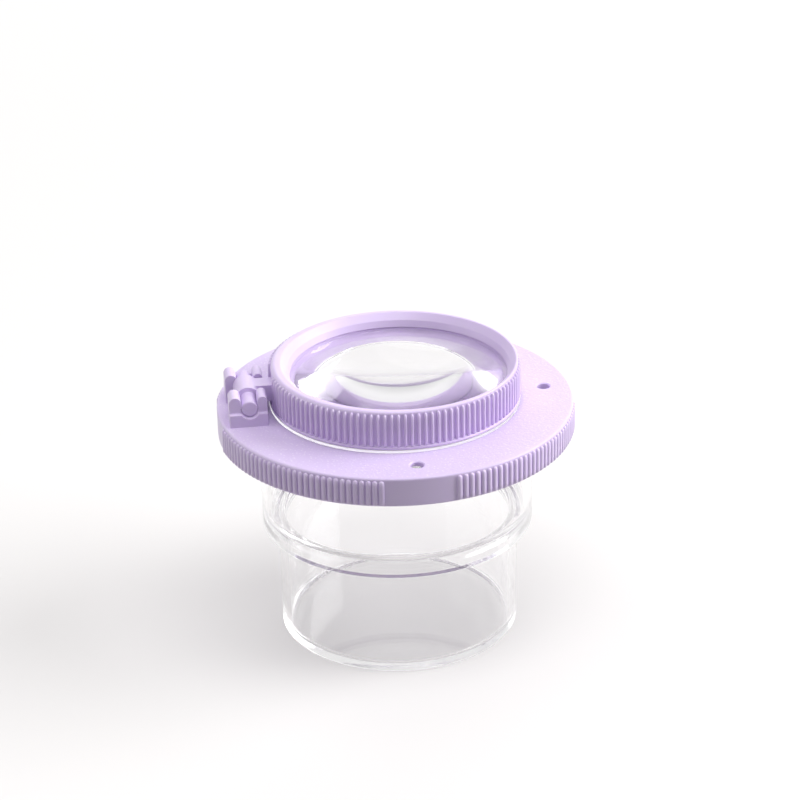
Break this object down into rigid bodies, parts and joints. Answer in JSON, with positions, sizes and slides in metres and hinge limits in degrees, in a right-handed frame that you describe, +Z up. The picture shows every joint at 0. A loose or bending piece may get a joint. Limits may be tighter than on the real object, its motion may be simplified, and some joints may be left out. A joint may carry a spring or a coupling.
{
  "type": "bug catcher jar",
  "caption": "Clear stepped viewing jar for insects, with a ribbed press-on lid that has air holes, a fixed lens and a hinged magnifier ring.",
  "frame": {"origin": "centre of the jar's underside, on the surface that the jar stands on", "axes": "+Z up along the axis of the jar and the lid, -X towards the hinge of the magnifier ring, Y along the hinge axis"},
  "size_m": [0.0892, 0.0892, 0.0725],
  "materials": {
    "clear_styrene": "clear, glossy",
    "clear_lens": "clear, polished",
    "lavender_plastic": "satin"
  },
  "bodies": {
    "jar": {"jar_body": "clear_styrene"},
    "lid": {"lid": "lavender_plastic", "lid_lens": "clear_lens"},
    "magnifier": {"magnifier_frame": "lavender_plastic", "magnifier_lens": "clear_lens"}
  },
  "joints": [
    {"name": "lid_lift", "type": "slide", "parent": "jar", "child": "lid", "axis": [0, 0, 1], "range_m": [0, 0.0389]},
    {"name": "magnifier_flip", "type": "hinge", "parent": "lid", "child": "magnifier", "pos_m": [-0.037, 0, 0.0661], "axis": [0, -1, 0], "range_deg": [0, 164]}
  ]
}
